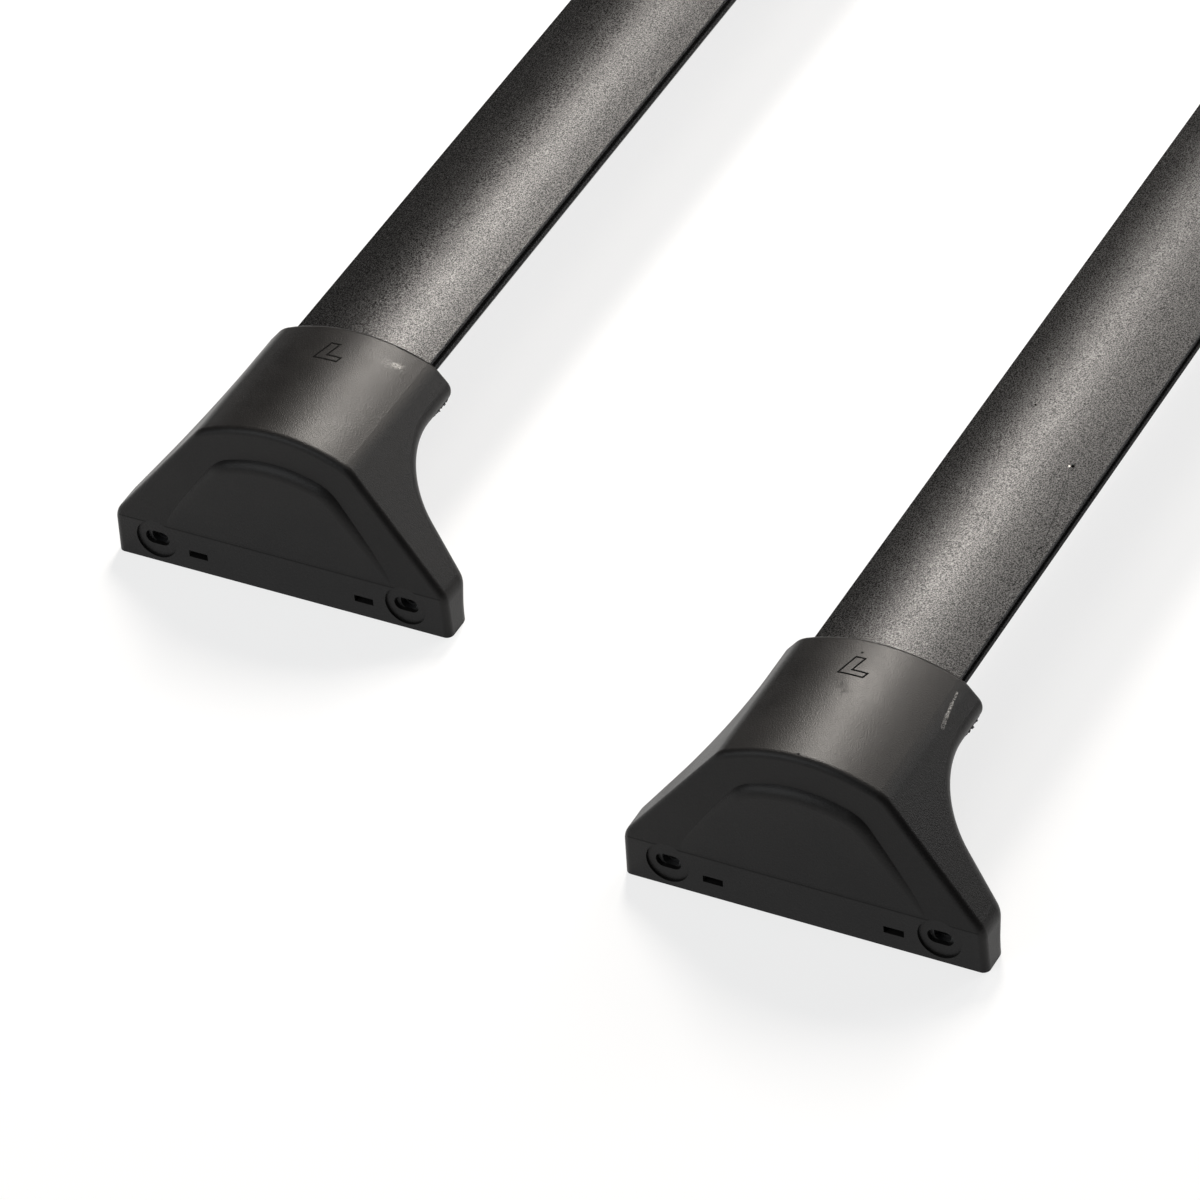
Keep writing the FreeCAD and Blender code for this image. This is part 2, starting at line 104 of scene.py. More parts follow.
class Shader:
    """A node material under construction, with short calls for the nodes that finishes need."""

    def __init__(self, name: str) -> None:
        """Starts an empty material.

        Args:
            name: The material's name.
        """
        self.material = bpy.data.materials.new(name)
        self.material.use_nodes = True
        self.nodes = self.material.node_tree.nodes
        self.links = self.material.node_tree.links
        self.nodes.clear()
        self.output = self.nodes.new("ShaderNodeOutputMaterial")
        self.place = self.nodes.new("ShaderNodeTexCoord").outputs["Object"]

    def feed(self, socket: Socket, value: object) -> None:
        """Links a socket to another, or sets its value.

        Args:
            socket: The input to feed.
            value: An output socket, a number or a tuple of numbers.
        """
        if isinstance(value, Socket):
            self.links.new(value, socket)
        else:
            socket.default_value = value

    def math(self, operation: str, first: object, second: object = 0.0, clamp: bool = False) -> Socket:
        """Adds a math node.

        Args:
            operation: The operation's name.
            first: The first operand, a socket or a number.
            second: The second operand, a socket or a number.
            clamp: Whether the result is held between 0 and 1.

        Returns:
            The result's socket.
        """
        node = self.nodes.new("ShaderNodeMath")
        node.operation = operation
        node.use_clamp = clamp
        self.feed(node.inputs[0], first)
        self.feed(node.inputs[1], second)
        return node.outputs[0]

    def vector(self, operation: str, first: object, second: object = (0.0, 0.0, 0.0)) -> bpy.types.Node:
        """Adds a vector math node.

        Args:
            operation: The operation's name.
            first: The first operand, a socket or three numbers.
            second: The second operand, a socket or three numbers.

        Returns:
            The node, whose outputs hold a vector and a value.
        """
        node = self.nodes.new("ShaderNodeVectorMath")
        node.operation = operation
        self.feed(node.inputs[0], first)
        self.feed(node.inputs[1], second)
        return node

    def noise(self, scale: float, detail: float = 2.0, roughness: float = 0.5) -> Socket:
        """Adds a noise texture.

        Args:
            scale: Features per metre.
            detail: Number of finer layers.
            roughness: Strength of the finer layers.

        Returns:
            The socket of the noise's value.
        """
        node = self.nodes.new("ShaderNodeTexNoise")
        self.feed(node.inputs["Vector"], self.place)
        node.inputs["Scale"].default_value = scale
        node.inputs["Detail"].default_value = detail
        node.inputs["Roughness"].default_value = roughness
        return node.outputs["Fac"]

    def remap(self, value: Socket, low: float, high: float, start: float, end: float) -> Socket:
        """Maps a range to another one and holds the result inside it.

        Args:
            value: The value to map.
            low: The value that becomes start.
            high: The value that becomes end.
            start: The first end of the new range.
            end: The second end of the new range.

        Returns:
            The mapped value's socket.
        """
        node = self.nodes.new("ShaderNodeMapRange")
        node.clamp = True
        self.feed(node.inputs["Value"], value)
        for name, number in (("From Min", low), ("From Max", high), ("To Min", start), ("To Max", end)):
            node.inputs[name].default_value = number
        return node.outputs["Result"]

    def spread(self, noise: Socket, middle: float, reach: float) -> Socket:
        """Maps a noise's usual range evenly round a value.

        Args:
            noise: The noise to map.
            middle: The value in the middle of the new range.
            reach: Distance from the middle to either end.

        Returns:
            The mapped value's socket.
        """
        return self.remap(noise, *NOISE_SPAN, middle - reach, middle + reach)

    def mix(self, factor: object, first: object, second: object) -> Socket:
        """Mixes two colours.

        Args:
            factor: Share of the second colour.
            first: A colour or its socket.
            second: A colour or its socket.

        Returns:
            The mixed colour's socket.
        """
        node = self.nodes.new("ShaderNodeMix")
        node.data_type = "RGBA"
        self.feed(node.inputs["Factor"], factor)
        for name, value in (("A", first), ("B", second)):
            socket = [s for s in node.inputs if s.name == name and s.type == "RGBA"][0]
            self.feed(socket, (*value, 1.0) if isinstance(value, tuple) else value)
        return [s for s in node.outputs if s.type == "RGBA"][0]

    def bump(self, height: Socket, depth: float) -> Socket:
        """Adds a bump node.

        Args:
            height: The height's socket.
            depth: Height of the relief, in metres.

        Returns:
            The bumped normal's socket.
        """
        node = self.nodes.new("ShaderNodeBump")
        self.feed(node.inputs["Height"], height)
        node.inputs["Distance"].default_value = depth
        node.inputs["Strength"].default_value = 1.0
        return node.outputs["Normal"]

    def surface(self, **values: object) -> bpy.types.Material:
        """Ends the material with a principled surface.

        Args:
            values: Sockets of the surface by name, with underscores for spaces.

        Returns:
            The finished material.
        """
        node = self.nodes.new("ShaderNodeBsdfPrincipled")
        for name, value in values.items():
            socket = node.inputs[name.replace("_", " ")]
            self.feed(socket, (*value, 1.0) if isinstance(value, tuple) and len(value) == 3 else value)
        self.links.new(node.outputs[0], self.output.inputs["Surface"])
        return self.material


class Wear(Enum):
    """What a mark of wear or of painted shade does to the finish: its colour and its roughness."""

    PALE_SCUFF = ((0.5, 0.49, 0.47), 0.6)
    DARK_NICK = ((0.001, 0.001, 0.001), 0.95)
    DULL_SMUDGE = ((0.008, 0.008, 0.0085), 0.62)
    # Painted shade: a near-black line that stands in for the shade in the crease above the end face's
    # strip.
    CREASE_SHADE = ((0.001, 0.001, 0.001), 0.9)


@dataclass(frozen=True)
class Mark:
    """A mark of wear or of painted shade along a short line on a surface, in millimetres in the row
    frame.
    """

    wear: Wear
    start: Place
    end: Place
    radius: float
    broken: float = 0.0
    strength: float = 1.0

    def mask(self, shader: Shader) -> Socket:
        """Adds nodes that are 1 inside the mark and 0 outside.

        Args:
            shader: The material that gets the mark.

        Returns:
            The mask's socket.
        """
        start = Vector(self.start) * MM
        run = Vector(self.end) * MM - start
        reach = max(run.length_squared, SHORTEST_RUN_SQUARED)
        offset = shader.vector("SUBTRACT", shader.place, tuple(start)).outputs["Vector"]
        ahead = shader.vector("DOT_PRODUCT", offset, tuple(run)).outputs["Value"]
        share = shader.math("DIVIDE", ahead, reach, clamp=True)
        along = shader.vector("SCALE", tuple(run))
        shader.feed(along.inputs["Scale"], share)
        gap = shader.vector("SUBTRACT", offset, along.outputs["Vector"]).outputs["Vector"]
        distance = shader.vector("LENGTH", gap).outputs["Value"]
        radius = self.radius * MM
        mask = shader.remap(distance, MARK_CORE * radius, radius, self.strength, 0.0)
        if self.broken:
            patches = shader.noise(self.broken, PATCH_DETAIL, PATCH_ROUGHNESS)
            mask = shader.math("MULTIPLY", mask, shader.remap(patches, *PATCH_SPAN, 0.0, 1.0))
        return mask


def add_marks(
    shader: Shader, marks: Sequence[Mark], colour: Socket, rough: Socket
) -> tuple[Socket, Socket]:
    """Lays marks of wear and of painted shade over a finish.

    Args:
        shader: The material that gets the marks.
        marks: The marks, the lowest first.
        colour: The finish's colour.
        rough: The finish's roughness.

    Returns:
        The colour and the roughness with the marks on them.
    """
    for mark in marks:
        mask = mark.mask(shader)
        tint, dullness = mark.wear.value
        colour = shader.mix(mask, colour, tint)
        gap = shader.math("SUBTRACT", dullness, rough)
        rough = shader.math("ADD", rough, shader.math("MULTIPLY", gap, mask))
    return colour, rough


@dataclass(frozen=True)
class PowderCoat:
    """The bars' charcoal powder coat with its fine metallic grain."""

    name: str = "charcoal_powder_coat"
    dark: Colour = (0.01, 0.01, 0.0102)
    light: Colour = (0.088, 0.088, 0.089)
    edge: Colour = (0.2, 0.2, 0.2)
    metal: float = 0.8
    roughness: float = 0.36
    grain: float = 1800.0
    grain_layers: float = 2.0
    grain_sharpness: float = 0.6
    grain_roughness: float = 0.06
    grain_depth: float = 0.0001
    flake_span: Span = (0.4, 0.68)
    cloud: float = 30.0
    cloud_layers: float = 3.0
    cloud_roughness: float = 0.02
    marks: tuple[Mark, ...] = ()

    def make(self) -> bpy.types.Material:
        """Builds the coat with its marks of wear.

        Returns:
            The coat's material.
        """
        shader = Shader(self.name)
        grain = shader.noise(self.grain, self.grain_layers, self.grain_sharpness)
        cloud = shader.noise(self.cloud, self.cloud_layers)
        flakes = shader.remap(grain, *self.flake_span, 0.0, 1.0)
        colour = shader.mix(flakes, self.dark, self.light)
        uneven = shader.spread(cloud, 0.0, self.cloud_roughness)
        rough = shader.math("ADD", uneven, shader.spread(grain, self.roughness, self.grain_roughness))
        colour, rough = add_marks(shader, self.marks, colour, rough)
        return shader.surface(
            Base_Color=colour,
            Roughness=rough,
            Metallic=self.metal,
            Specular_Tint=self.edge,
            Normal=shader.bump(grain, self.grain_depth),
        )


@dataclass(frozen=True)
class SatinMoulding:
    """The feet's black satin plastic."""

    name: str = "black_satin_moulding"
    dark: Colour = (0.0065, 0.0061, 0.0061)
    light: Colour = (0.0105, 0.0099, 0.0097)
    roughness: float = 0.38
    specular: float = 0.185
    smoother: float = 0.03
    rougher: float = 0.05
    rough_span: Span = (0.3, 0.75)
    texture: float = 1700.0
    texture_depth: float = 0.0001
    cloud: float = 45.0
    cloud_layers: float = 4.0
    cloud_sharpness: float = 0.6
    marks: tuple[Mark, ...] = ()

    def make(self) -> bpy.types.Material:
        """Builds the plastic with its marks of wear and its painted crease shade.

        Returns:
            The moulding's material.
        """
        shader = Shader(self.name)
        grain = shader.noise(self.texture)
        cloud = shader.noise(self.cloud, self.cloud_layers, self.cloud_sharpness)
        colour = shader.mix(shader.remap(cloud, *NOISE_SPAN, 0.0, 1.0), self.dark, self.light)
        smooth, rough_end = self.roughness - self.smoother, self.roughness + self.rougher
        rough = shader.remap(cloud, *self.rough_span, smooth, rough_end)
        colour, rough = add_marks(shader, self.marks, colour, rough)
        return shader.surface(
            Base_Color=colour,
            Roughness=rough,
            Specular_IOR_Level=self.specular,
            Normal=shader.bump(grain, self.texture_depth),
        )


@dataclass(frozen=True)
class CoatedSteel:
    """The brackets' dark dip coat over pressed steel."""

    name: str = "dark_coated_steel"
    dark: Colour = (0.02, 0.02, 0.021)
    light: Colour = (0.05, 0.05, 0.05)
    roughness: float = 0.5
    rough_reach: float = 0.08
    metal: float = 0.3
    cloud: float = 90.0
    cloud_layers: float = 5.0
    cloud_sharpness: float = 0.6
    cloud_span: Span = (0.35, 0.7)
    grain: float = 900.0
    grain_depth: float = 0.00004

    def make(self) -> bpy.types.Material:
        """Builds the coat.

        Returns:
            The coat's material.
        """
        shader = Shader(self.name)
        cloud = shader.noise(self.cloud, self.cloud_layers, self.cloud_sharpness)
        fine = shader.noise(self.grain)
        colour = shader.mix(shader.remap(cloud, *self.cloud_span, 0.0, 1.0), self.dark, self.light)
        rough = shader.spread(fine, self.roughness, self.rough_reach)
        bumps = shader.bump(fine, self.grain_depth)
        return shader.surface(Base_Color=colour, Roughness=rough, Metallic=self.metal, Normal=bumps)


@dataclass(frozen=True)
class ZincPlate:
    """The bolts' plain zinc plating."""

    name: str = "zinc_plate"
    dark: Colour = (0.33, 0.34, 0.35)
    light: Colour = (0.52, 0.53, 0.53)
    smoothest: float = 0.28
    roughest: float = 0.46
    cloud: float = 260.0
    cloud_layers: float = 4.0
    cloud_sharpness: float = 0.6
    cloud_depth: float = 0.00003

    def make(self) -> bpy.types.Material:
        """Builds the plating.

        Returns:
            The plating's material.
        """
        shader = Shader(self.name)
        cloud = shader.noise(self.cloud, self.cloud_layers, self.cloud_sharpness)
        colour = shader.mix(shader.remap(cloud, *NOISE_SPAN, 0.0, 1.0), self.dark, self.light)
        rough = shader.remap(cloud, *NOISE_SPAN, self.smoothest, self.roughest)
        bumps = shader.bump(cloud, self.cloud_depth)
        return shader.surface(Base_Color=colour, Roughness=rough, Metallic=1.0, Normal=bumps)


@dataclass(frozen=True)
class LetterShadeLine:
    """The dull line that bounds a moulded letter; its near-black colour is painted shade for the step
    round the letter.
    """

    name: str = "letter_line_painted_shade"
    # Painted shade: near-black colours that stand in for the shade at the letter's outline.
    dark: Colour = (0.0025, 0.0025, 0.0025)
    light: Colour = (0.004, 0.004, 0.004)
    roughness: float = 0.85
    specular: float = 0.06
    grain: float = 1800.0
    grain_depth: float = 0.00003

    def make(self) -> bpy.types.Material:
        """Builds the line's finish, a painted shade.

        Returns:
            The line's material.
        """
        shader = Shader(self.name)
        fine = shader.noise(self.grain)
        return shader.surface(
            Base_Color=shader.mix(fine, self.dark, self.light),
            Roughness=self.roughness,
            Specular_IOR_Level=self.specular,
            Normal=shader.bump(fine, self.grain_depth),
        )


def add_mesh(
    name: str, points: Sequence[Vector], faces: Sequence[tuple[int, ...]]
) -> bpy.types.Object:
    """Makes a mesh and puts it in the scene.

    Args:
        name: The mesh's and the object's name.
        points: The corners, in metres in the row frame.
        faces: The faces, as numbers of corners.

    Returns:
        The mesh's object.
    """
    mesh = bpy.data.meshes.new(name)
    mesh.from_pydata(points, [], faces)
    mesh.validate()
    piece = bpy.data.objects.new(name, mesh)
    bpy.context.scene.collection.objects.link(piece)
    return piece


def paint(piece: bpy.types.Object, material: bpy.types.Material) -> None:
    """Gives a piece one material.

    Args:
        piece: The piece to dress.
        material: Its material.
    """
    piece.data.materials.clear()
    piece.data.materials.append(material)


@dataclass
class SideLetter:
    """The outlined side letter on a foot's sleeve, a thin moulded line that follows the arched top."""

    side: Side
    height: float = 10.4
    slant: float = 0.27
    line_width: float = 0.7
    line_step: float = 1.0
    line_rise: float = 0.1
    line_root: float = 0.4
    stem: float = 3.9
    arm: float = 2.8
    arm_length: float = 10.4
    bowl: float = 2.9
    bowl_inset: float = 0.4
    counter: float = 1.0
    leg: float = 3.2
    leg_root: float = 0.9
    half_turn_steps: int = 12
    from_end: float = 58.0
    to_left: float = 8.6
    arch_radius: float = 80.0

    def left_loops(self) -> list[list[Point]]:
        """Lists the corners of an upright L.

        Returns:
            The letter's one loop.
        """
        stem_side = [(0, 0), (0, self.height), (self.stem, self.height), (self.stem, self.arm)]
        return [[*stem_side, (self.arm_length, self.arm), (self.arm_length, 0)]]

    def arc(self, middle: Point, radius: float) -> list[Point]:
        """Lists points of a half turn, clockwise from the top.

        Args:
            middle: The arc's middle.
            radius: The arc's radius.

        Returns:
            The points.
        """
        steps = self.half_turn_steps
        angles = [math.pi / 2 - math.pi * step / steps for step in range(steps + 1)]
        return [(middle[0] + radius * math.cos(a), middle[1] + radius * math.sin(a)) for a in angles]

    def right_loops(self) -> list[list[Point]]:
        """Lists the corners of an upright R.

        Returns:
            The letter's outline and the hole in it.
        """
        middle = (self.arm_length - self.bowl - self.bowl_inset, self.height - self.bowl)
        waist = self.height - 2 * self.bowl
        stem = self.arm
        leg = [(self.arm_length, 0), (self.arm_length - self.leg, 0), (stem + self.leg_root, waist)]
        outer = [(0, 0), (0, self.height), *self.arc(middle, self.bowl), *leg, (stem, waist), (stem, 0)]
        hole = self.arc(middle, self.counter)
        inner = [(stem, middle[1] + self.counter), *hole, (stem, middle[1] - self.counter)]
        return [outer, inner]

    def split(self, loop: list[Point]) -> list[Point]:
        """Cuts a loop's long runs into short ones that can follow the arched top.

        Args:
            loop: The loop's corners.

        Returns:
            The corners with points between them.
        """
        points: list[Point] = []
        for index, corner in enumerate(loop):
            start, end = Vector(corner), Vector(loop[(index + 1) % len(loop)])
            count = max(1, math.ceil((end - start).length / self.line_step))
            points += [tuple(start.lerp(end, step / count)) for step in range(count)]
        return points

    def on_top(self, across: float, along: float, rise: float, foot: "Foot") -> Vector:
        """Places a letter's point on the sleeve.

        Args:
            across: Distance to the reader's right.
            along: Distance up the letter.
            rise: Height over the sleeve's top.
            foot: The foot that bears the letter.

        Returns:
            The place in the row frame, in metres.
        """
        lean = across + self.slant * along
        offset = self.to_left - lean
        drop = self.arch_radius - math.sqrt(self.arch_radius**2 - offset**2)
        inwards = self.from_end + along
        place = Vector((foot.inward * inwards, foot.inward * offset, rise - drop)) * MM
        return foot.top + place

    def make(self, foot: "Foot") -> bpy.types.Object:
        """Builds the letter's line on a foot.

        Args:
            foot: The foot that bears the letter.

        Returns:
            The letter's object.
        """
        outlines = self.left_loops() if self.side is Side.LEFT else self.right_loops()
        loops = [self.split(loop) for loop in outlines]
        top, root = self.line_rise, -self.line_root
        section = ((0.5, top), (-0.5, top), (-0.5, root), (0.5, root))
        sides = len(section)
        points: list[Vector] = []
        faces: list[tuple[int, ...]] = []
        for loop in loops:
            first = len(points)
            count = len(loop)
            for index, corner in enumerate(loop):
                before = Vector(corner) - Vector(loop[index - 1])
                after = Vector(loop[(index + 1) % count]) - Vector(corner)
                normals = [Vector((-edge.y, edge.x)).normalized() for edge in (before, after)]
                mitre = (normals[0] + normals[1]) / (1 + normals[0].dot(normals[1]))
                for share, rise in section:
                    spot = Vector(corner) + mitre * share * self.line_width
                    points.append(self.on_top(spot.x, spot.y, rise, foot))
            for index in range(count):
                here = first + sides * index
                there = first + sides * ((index + 1) % count)
                for side in range(sides):
                    follow = (side + 1) % sides
                    faces.append((here + side, here + follow, there + follow, there + side))
        return add_mesh(f"{foot.name}_letter", points, faces)


@dataclass
class MouldFlash:
    """The ragged flash that the mould left along the rounded lower edge of a sleeve, behind its rim."""

    seed: int
    from_rim: float = 3.0
    length: float = 13.0
    steps: int = 30
    edge_radius: float = 6.0
    edge_out: float = 36.0
    edge_height: float = 59.2
    angle: float = math.radians(33.0)
    root: float = 0.4
    thickness: float = 0.4
    tallest: float = 1.0
    raggedness: float = 1.5

    def make(self, foot: "Foot") -> bpy.types.Object:
        """Builds the flash on a left foot.

        Args:
            foot: The foot that bears the flash.

        Returns:
            The flash's object.
        """
        chance = random.Random(self.seed)
        low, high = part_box(f"{foot.name}_foot")
        middle = Vector((high.x, (low.y + high.y) / 2, low.z))
        spread = self.thickness / (2 * self.edge_radius)
        points: list[Vector] = []
        for step in range(self.steps + 1):
            share = step / self.steps
            along = self.from_rim + self.length * share
            height = self.tallest * math.sin(math.pi * share) * chance.random() ** self.raggedness
            for reach, turn in ((-self.root, -spread), (height, 0.0), (-self.root, spread)):
                radius = self.edge_radius + reach
                bend = self.angle + turn
                out = self.edge_out + radius * math.cos(bend)
                level = self.edge_height - radius * math.sin(bend)
                points.append(middle + Vector((-along, -out, level)) * MM)
        sides = 3
        last = sides * self.steps
        faces: list[tuple[int, ...]] = [(0, 1, 2), (last + 2, last + 1, last)]
        for here in range(0, last, sides):
            there = here + sides
            for side in range(sides):
                follow = (side + 1) % sides
                faces.append((here + side, there + side, there + follow, here + follow))
        return add_mesh(f"{foot.name}_flash", points, faces)


@dataclass
class Foot:
    """One moulded foot with the bracket and the bolts inside it."""

    end: End
    side: Side
    nodes: dict[str, bpy.types.Object]
    marks: tuple[Mark, ...] = ()
    # Place, width and strength of the painted shade line along the strip's crease.
    crease_shade_height: float = 19.4
    crease_shade_inset: float = 1.5
    crease_shade_radius: float = 0.4
    crease_shade_strength: float = 0.55
    moulding: bpy.types.Material = field(init=False)

    def __post_init__(self) -> None:
        """Makes the foot's own finish with its painted crease shade and its wear."""
        marks = (self.crease_shade, *self.marks)
        self.moulding = SatinMoulding(f"{self.name}_moulding", marks=marks).make()

    @property
    def crease_shade(self) -> Mark:
        """Painted shade: a fine near-black line along the crease at the top of the end face's strip.

        Returns:
            The line as a mark.
        """
        low, high = (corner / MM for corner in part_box(f"{self.name}_foot"))
        outer = low.x if self.side is Side.LEFT else high.x
        start = (outer, low.y + self.crease_shade_inset, self.crease_shade_height)
        end = (outer, high.y - self.crease_shade_inset, self.crease_shade_height)
        return Mark(Wear.CREASE_SHADE, start, end, self.crease_shade_radius, strength=self.crease_shade_strength)

    @property
    def name(self) -> str:
        """The foot's own name."""
        return f"{self.end.value}_{self.side.name.lower()}"

    @property
    def inward(self) -> int:
        """The sense of X that leads from the foot's end face into the bar."""
        return 1 if self.side is Side.LEFT else -1

    @property
    def top(self) -> Vector:
        """The middle of the sleeve's crest, straight above the foot's end face.

        Returns:
            The place in the row frame, in metres.
        """
        low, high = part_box(f"{self.name}_foot")
        outer = low.x if self.side is Side.LEFT else high.x
        return Vector((outer, (low.y + high.y) / 2, high.z))

    def dress(self, finishes: dict[Slot, bpy.types.Material]) -> None:
        """Gives the foot's nodes their finishes.

        Args:
            finishes: The material of each slot.
        """
        dressing = {
            "foot": self.moulding,
            "bracket": finishes[Slot.BRACKET],
            "bolts": finishes[Slot.FASTENER],
        }
        for piece, material in dressing.items():
            paint(self.nodes[f"{self.name}_{piece}"], material)
            log.info("dressed %s_%s", self.name, piece)

    def add_letter(self, material: bpy.types.Material) -> None:
        """Adds the side letter.

        Args:
            material: The finish of the letter's line, a painted shade.
        """
        letter = SideLetter(self.side).make(self)
        paint(letter, material)
        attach(letter, "root")
        log.info("added %s", letter.name)

    def add_flash(self, flash: MouldFlash) -> None:
        """Adds the mould's flash.

        Args:
            flash: The flash to build.
        """
        piece = flash.make(self)
        paint(piece, self.moulding)
        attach(piece, "root")
        log.info("added %s", piece.name)


@dataclass
class Crossbar:
    """One bar with the feet at its ends."""

    end: End
    nodes: dict[str, bpy.types.Object]
    flash_seed: int
    bar_marks: tuple[Mark, ...] = ()
    left_foot_marks: tuple[Mark, ...] = ()
    feet: list[Foot] = field(init=False)

    def __post_init__(self) -> None:
        """Makes the two feet."""
        left = Foot(self.end, Side.LEFT, self.nodes, self.left_foot_marks)
        self.feet = [left, Foot(self.end, Side.RIGHT, self.nodes)]

    def dress(
        self, finishes: dict[Slot, bpy.types.Material], letter_shade_line: bpy.types.Material
    ) -> None:
        """Dresses the bar and its feet.

        Args:
            finishes: The material of each slot.
            letter_shade_line: The finish of the side letters' lines, a painted shade.
        """
        bar = self.nodes[f"{self.end.value}_bar"]
        coat = finishes[Slot.BAR]
        if self.bar_marks:
            coat = PowderCoat(f"{self.end.value}_worn_powder_coat", marks=self.bar_marks).make()
        paint(bar, coat)
        log.info("dressed %s", bar.name)
        for foot in self.feet:
            foot.dress(finishes)
            foot.add_letter(letter_shade_line)
        self.feet[0].add_flash(MouldFlash(self.flash_seed))


@dataclass
class Softbox:
    """A rectangular studio lamp."""

    name: str
    place: Place
    aim: Place
    width: float
    depth: float
    power: float
    tint: Tint

    def make(self) -> None:
        """Hangs the lamp."""
        lamp = bpy.data.lights.new(self.name, "AREA")
        lamp.shape = "RECTANGLE"
        lamp.size = self.width
        lamp.size_y = self.depth
        lamp.energy = self.power
        lamp.color = self.tint.value
        hung = bpy.data.objects.new(self.name, lamp)
        hung.location = self.place
        sight = Vector(self.aim) - Vector(self.place)
        hung.rotation_euler = sight.to_track_quat("-Z", "Y").to_euler()
        hung.visible_camera = False
        bpy.context.scene.collection.objects.link(hung)


@dataclass
class Studio:
    """The pale floor, the room's dim light and the lamps."""

    floor_size: float = 14.0
    floor_colour: Colour = (0.92, 0.92, 0.92)
    floor_white: float = 0.75
    room: Colour = (0.05, 0.05, 0.05)
    lamps: Sequence[Softbox] = (
        Softbox("key_softbox", (0.5, 0.3, 1.15), (-0.4, -0.05, 0.06), 0.25, 0.6, 26.0, Tint.WARM),
        Softbox("fill_softbox", (0.55, -0.2, 0.85), (-0.4, -0.05, 0.06), 0.3, 0.9, 6.0, Tint.WARM),
        Softbox("right_softbox", (1.1, -1.0, 1.1), (-0.4, -0.1, 0.05), 0.35, 1.0, 8.0, Tint.PALE),
        Softbox("low_softbox", (0.6, -1.1, 0.5), (-0.45, -0.05, 0.04), 0.5, 0.5, 3.0, Tint.WHITE),
        Softbox("top_softbox", (-0.6, -0.1, 1.9), (-0.3, 0.0, 0.0), 0.9, 0.9, 3.5, Tint.COOL),
        Softbox("front_softbox", (-2.0, 0.95, 1.15), (-0.5, 0.0, 0.05), 1.6, 1.6, 20.0, Tint.COOL),
    )

    def make_floor(self) -> None:
        """Lays the floor, which shows white to the lens and to gloss and keeps a pale shadow."""
        half = self.floor_size / 2
        corners = [Vector((half * x, half * y, 0)) for x, y in ((-1, -1), (1, -1), (1, 1), (-1, 1))]
        floor = add_mesh("floor", corners, [(0, 1, 2, 3)])
        shader = Shader("pale_floor")
        path = shader.nodes.new("ShaderNodeLightPath")
        seen = shader.math("ADD", path.outputs["Is Camera Ray"], path.outputs["Is Glossy Ray"])
        seen = shader.math("ADD", seen, path.outputs["Is Transmission Ray"], clamp=True)
        matt = shader.nodes.new("ShaderNodeBsdfDiffuse")
        matt.inputs["Color"].default_value = (*self.floor_colour, 1.0)
        white = shader.nodes.new("ShaderNodeEmission")
        blend = shader.nodes.new("ShaderNodeMixShader")
        shader.feed(blend.inputs[0], shader.math("MULTIPLY", seen, self.floor_white))
        shader.links.new(matt.outputs[0], blend.inputs[1])
        shader.links.new(white.outputs[0], blend.inputs[2])
        shader.links.new(blend.outputs[0], shader.output.inputs["Surface"])
        floor.data.materials.append(shader.material)

    def make_room(self) -> None:
        """Sets the room's even light."""
        world = bpy.data.worlds.new("room")
        world.use_nodes = True
        light = world.node_tree.nodes["Background"].inputs["Color"]
        light.default_value = (*self.room, 1.0)
        bpy.context.scene.world = world

    def make(self) -> None:
        """Builds the studio."""
        self.make_floor()
        self.make_room()
        for lamp in self.lamps:
            lamp.make()


@dataclass
class PhotoCamera:
    """The camera that took the photograph, found from the feet's slots and the bars' edges."""

    place: Place = (-2.4495, -1.1717, 1.9361)
    right: Place = (0.4508, -0.8895, -0.0748)
    forward: Place = (0.6658, 0.3909, -0.6355)
    focal_pixels: float = 7571.3
    image_width: float = 1200.0
    sensor: float = 36.0
    farthest: float = 60.0

    def make(self) -> None:
        """Sets up the camera."""
        lens = bpy.data.cameras.new("photo_camera")
        lens.sensor_width = self.sensor
        lens.lens = self.focal_pixels / self.image_width * self.sensor
        lens.clip_end = self.farthest
        back = -Vector(self.forward).normalized()
        up = back.cross(Vector(self.right)).normalized()
        side = up.cross(back)
        camera = bpy.data.objects.new("photo_camera", lens)
        turn = Matrix((side, up, back)).transposed().to_4x4()
        camera.matrix_world = Matrix.Translation(self.place) @ turn
        bpy.context.scene.collection.objects.link(camera)
        bpy.context.scene.camera = camera


FRONT_LEFT_FOOT_MARKS = (
    Mark(Wear.PALE_SCUFF, (-398.0, 121.0, 75.1), (-396.8, 115.6, 73.6), 3.0, 600.0, 0.22),
    Mark(Wear.PALE_SCUFF, (-397.2, 118.3, 74.4), (-396.9, 116.2, 73.8), 1.6, 1300.0, 0.95),
)
REAR_LEFT_FOOT_MARKS = (
    Mark(Wear.DULL_SMUDGE, (-511.0, -133.5, 77.3), (-516.0, -139.0, 77.7), 3.4, 700.0, 0.6),
    Mark(Wear.PALE_SCUFF, (-492.5, -175.6, 69.6), (-501.1, -176.5, 68.9), 0.6, 1500.0, 0.7),
    Mark(Wear.PALE_SCUFF, (-499.0, -176.3, 69.1), (-505.0, -177.0, 68.4), 0.85, 1700.0),
    Mark(Wear.PALE_SCUFF, (-505.0, -177.0, 68.4), (-511.0, -177.9, 67.4), 1.1, 2200.0, 0.7),
    Mark(Wear.DARK_NICK, (-493.2, -136.3, 77.5), (-493.1, -136.3, 77.5), 0.7),
    Mark(Wear.DARK_NICK, (-555.7, -139.4, 77.7), (-555.6, -139.4, 77.7), 0.7),
)
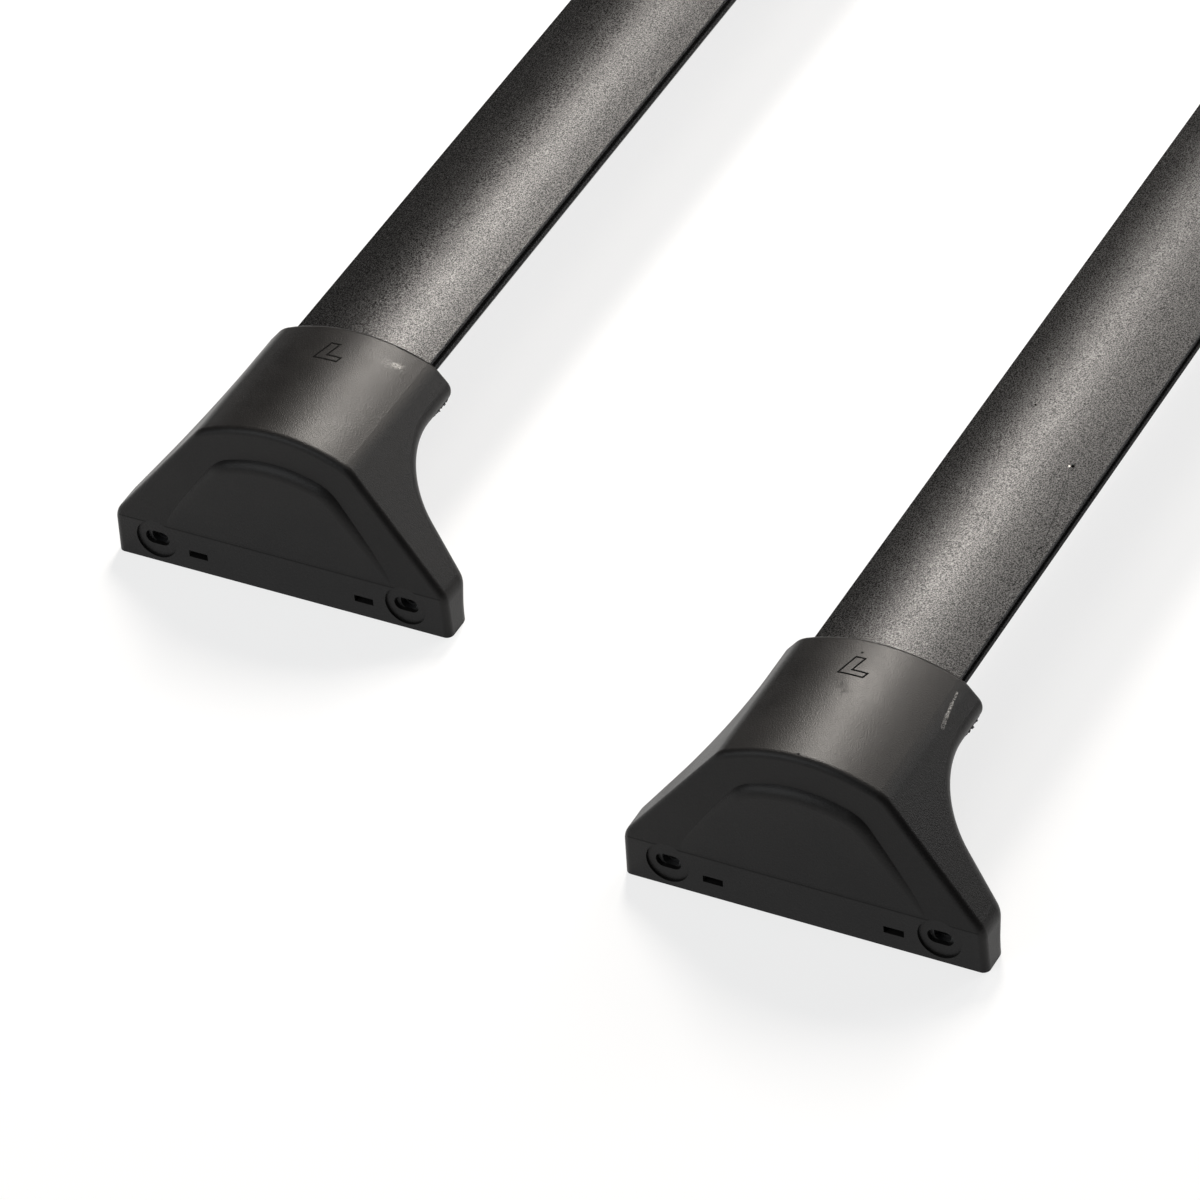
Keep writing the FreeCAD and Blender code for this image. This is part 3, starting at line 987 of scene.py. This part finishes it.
REAR_BAR_MARKS = (
    Mark(Wear.PALE_SCUFF, (-354.0, -160.2, 71.8), (-353.9, -160.2, 71.8), 0.55),
    Mark(Wear.DARK_NICK, (-353.2, -161.4, 71.5), (-353.1, -161.4, 71.5), 1.1),
    Mark(Wear.DARK_NICK, (-361.5, -162.5, 71.1), (-381.8, -166.4, 69.9), 0.3, strength=0.4),
    Mark(Wear.DARK_NICK, (-381.8, -166.4, 69.9), (-396.3, -168.7, 69.1), 0.3, strength=0.4),
    Mark(Wear.DARK_NICK, (-396.9, -171.0, 68.2), (-402.0, -168.6, 69.1), 0.5, 1500.0, 0.9),
    Mark(Wear.DARK_NICK, (-402.0, -168.6, 69.1), (-406.8, -168.7, 69.1), 0.55, 1500.0, 0.9),
    Mark(Wear.DARK_NICK, (-406.8, -168.7, 69.1), (-408.0, -171.3, 68.1), 0.6, 1500.0, 0.9),
    Mark(Wear.DARK_NICK, (-444.0, -171.7, 67.8), (-448.8, -171.9, 67.6), 1.0, 1100.0),
    Mark(Wear.DARK_NICK, (-325.8, -132.9, 73.8), (-325.6, -132.9, 73.8), 0.6),
    Mark(Wear.DARK_NICK, (-320.5, -136.9, 74.1), (-321.8, -140.9, 74.2), 0.45, 1500.0),
    Mark(Wear.DARK_NICK, (-317.8, -150.8, 73.6), (-317.7, -150.8, 73.6), 0.5),
    Mark(Wear.DARK_NICK, (-397.5, -144.2, 74.2), (-398.4, -146.4, 74.0), 0.45, 1500.0, 0.8),
)


def main() -> None:
    """Builds the dressed crossbars, the studio and the camera."""
    logging.basicConfig(level=logging.INFO, format="%(message)s")
    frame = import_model()
    bpy.context.scene.view_settings.view_transform = "Standard"
    finishes = {
        Slot.BAR: PowderCoat().make(),
        Slot.BRACKET: CoatedSteel().make(),
        Slot.FASTENER: ZincPlate().make(),
    }
    # The side letters' lines get a painted shade finish.
    letter_shade_line = LetterShadeLine().make()
    crossbars = (
        Crossbar(
            End.FRONT,
            frame["nodes"],
            flash_seed=5,
            left_foot_marks=FRONT_LEFT_FOOT_MARKS,
        ),
        Crossbar(
            End.REAR,
            frame["nodes"],
            flash_seed=4,
            bar_marks=REAR_BAR_MARKS,
            left_foot_marks=REAR_LEFT_FOOT_MARKS,
        ),
    )
    for crossbar in crossbars:
        crossbar.dress(finishes, letter_shade_line)
    Studio().make()
    PhotoCamera().make()


if __name__ == "__main__":
    main()
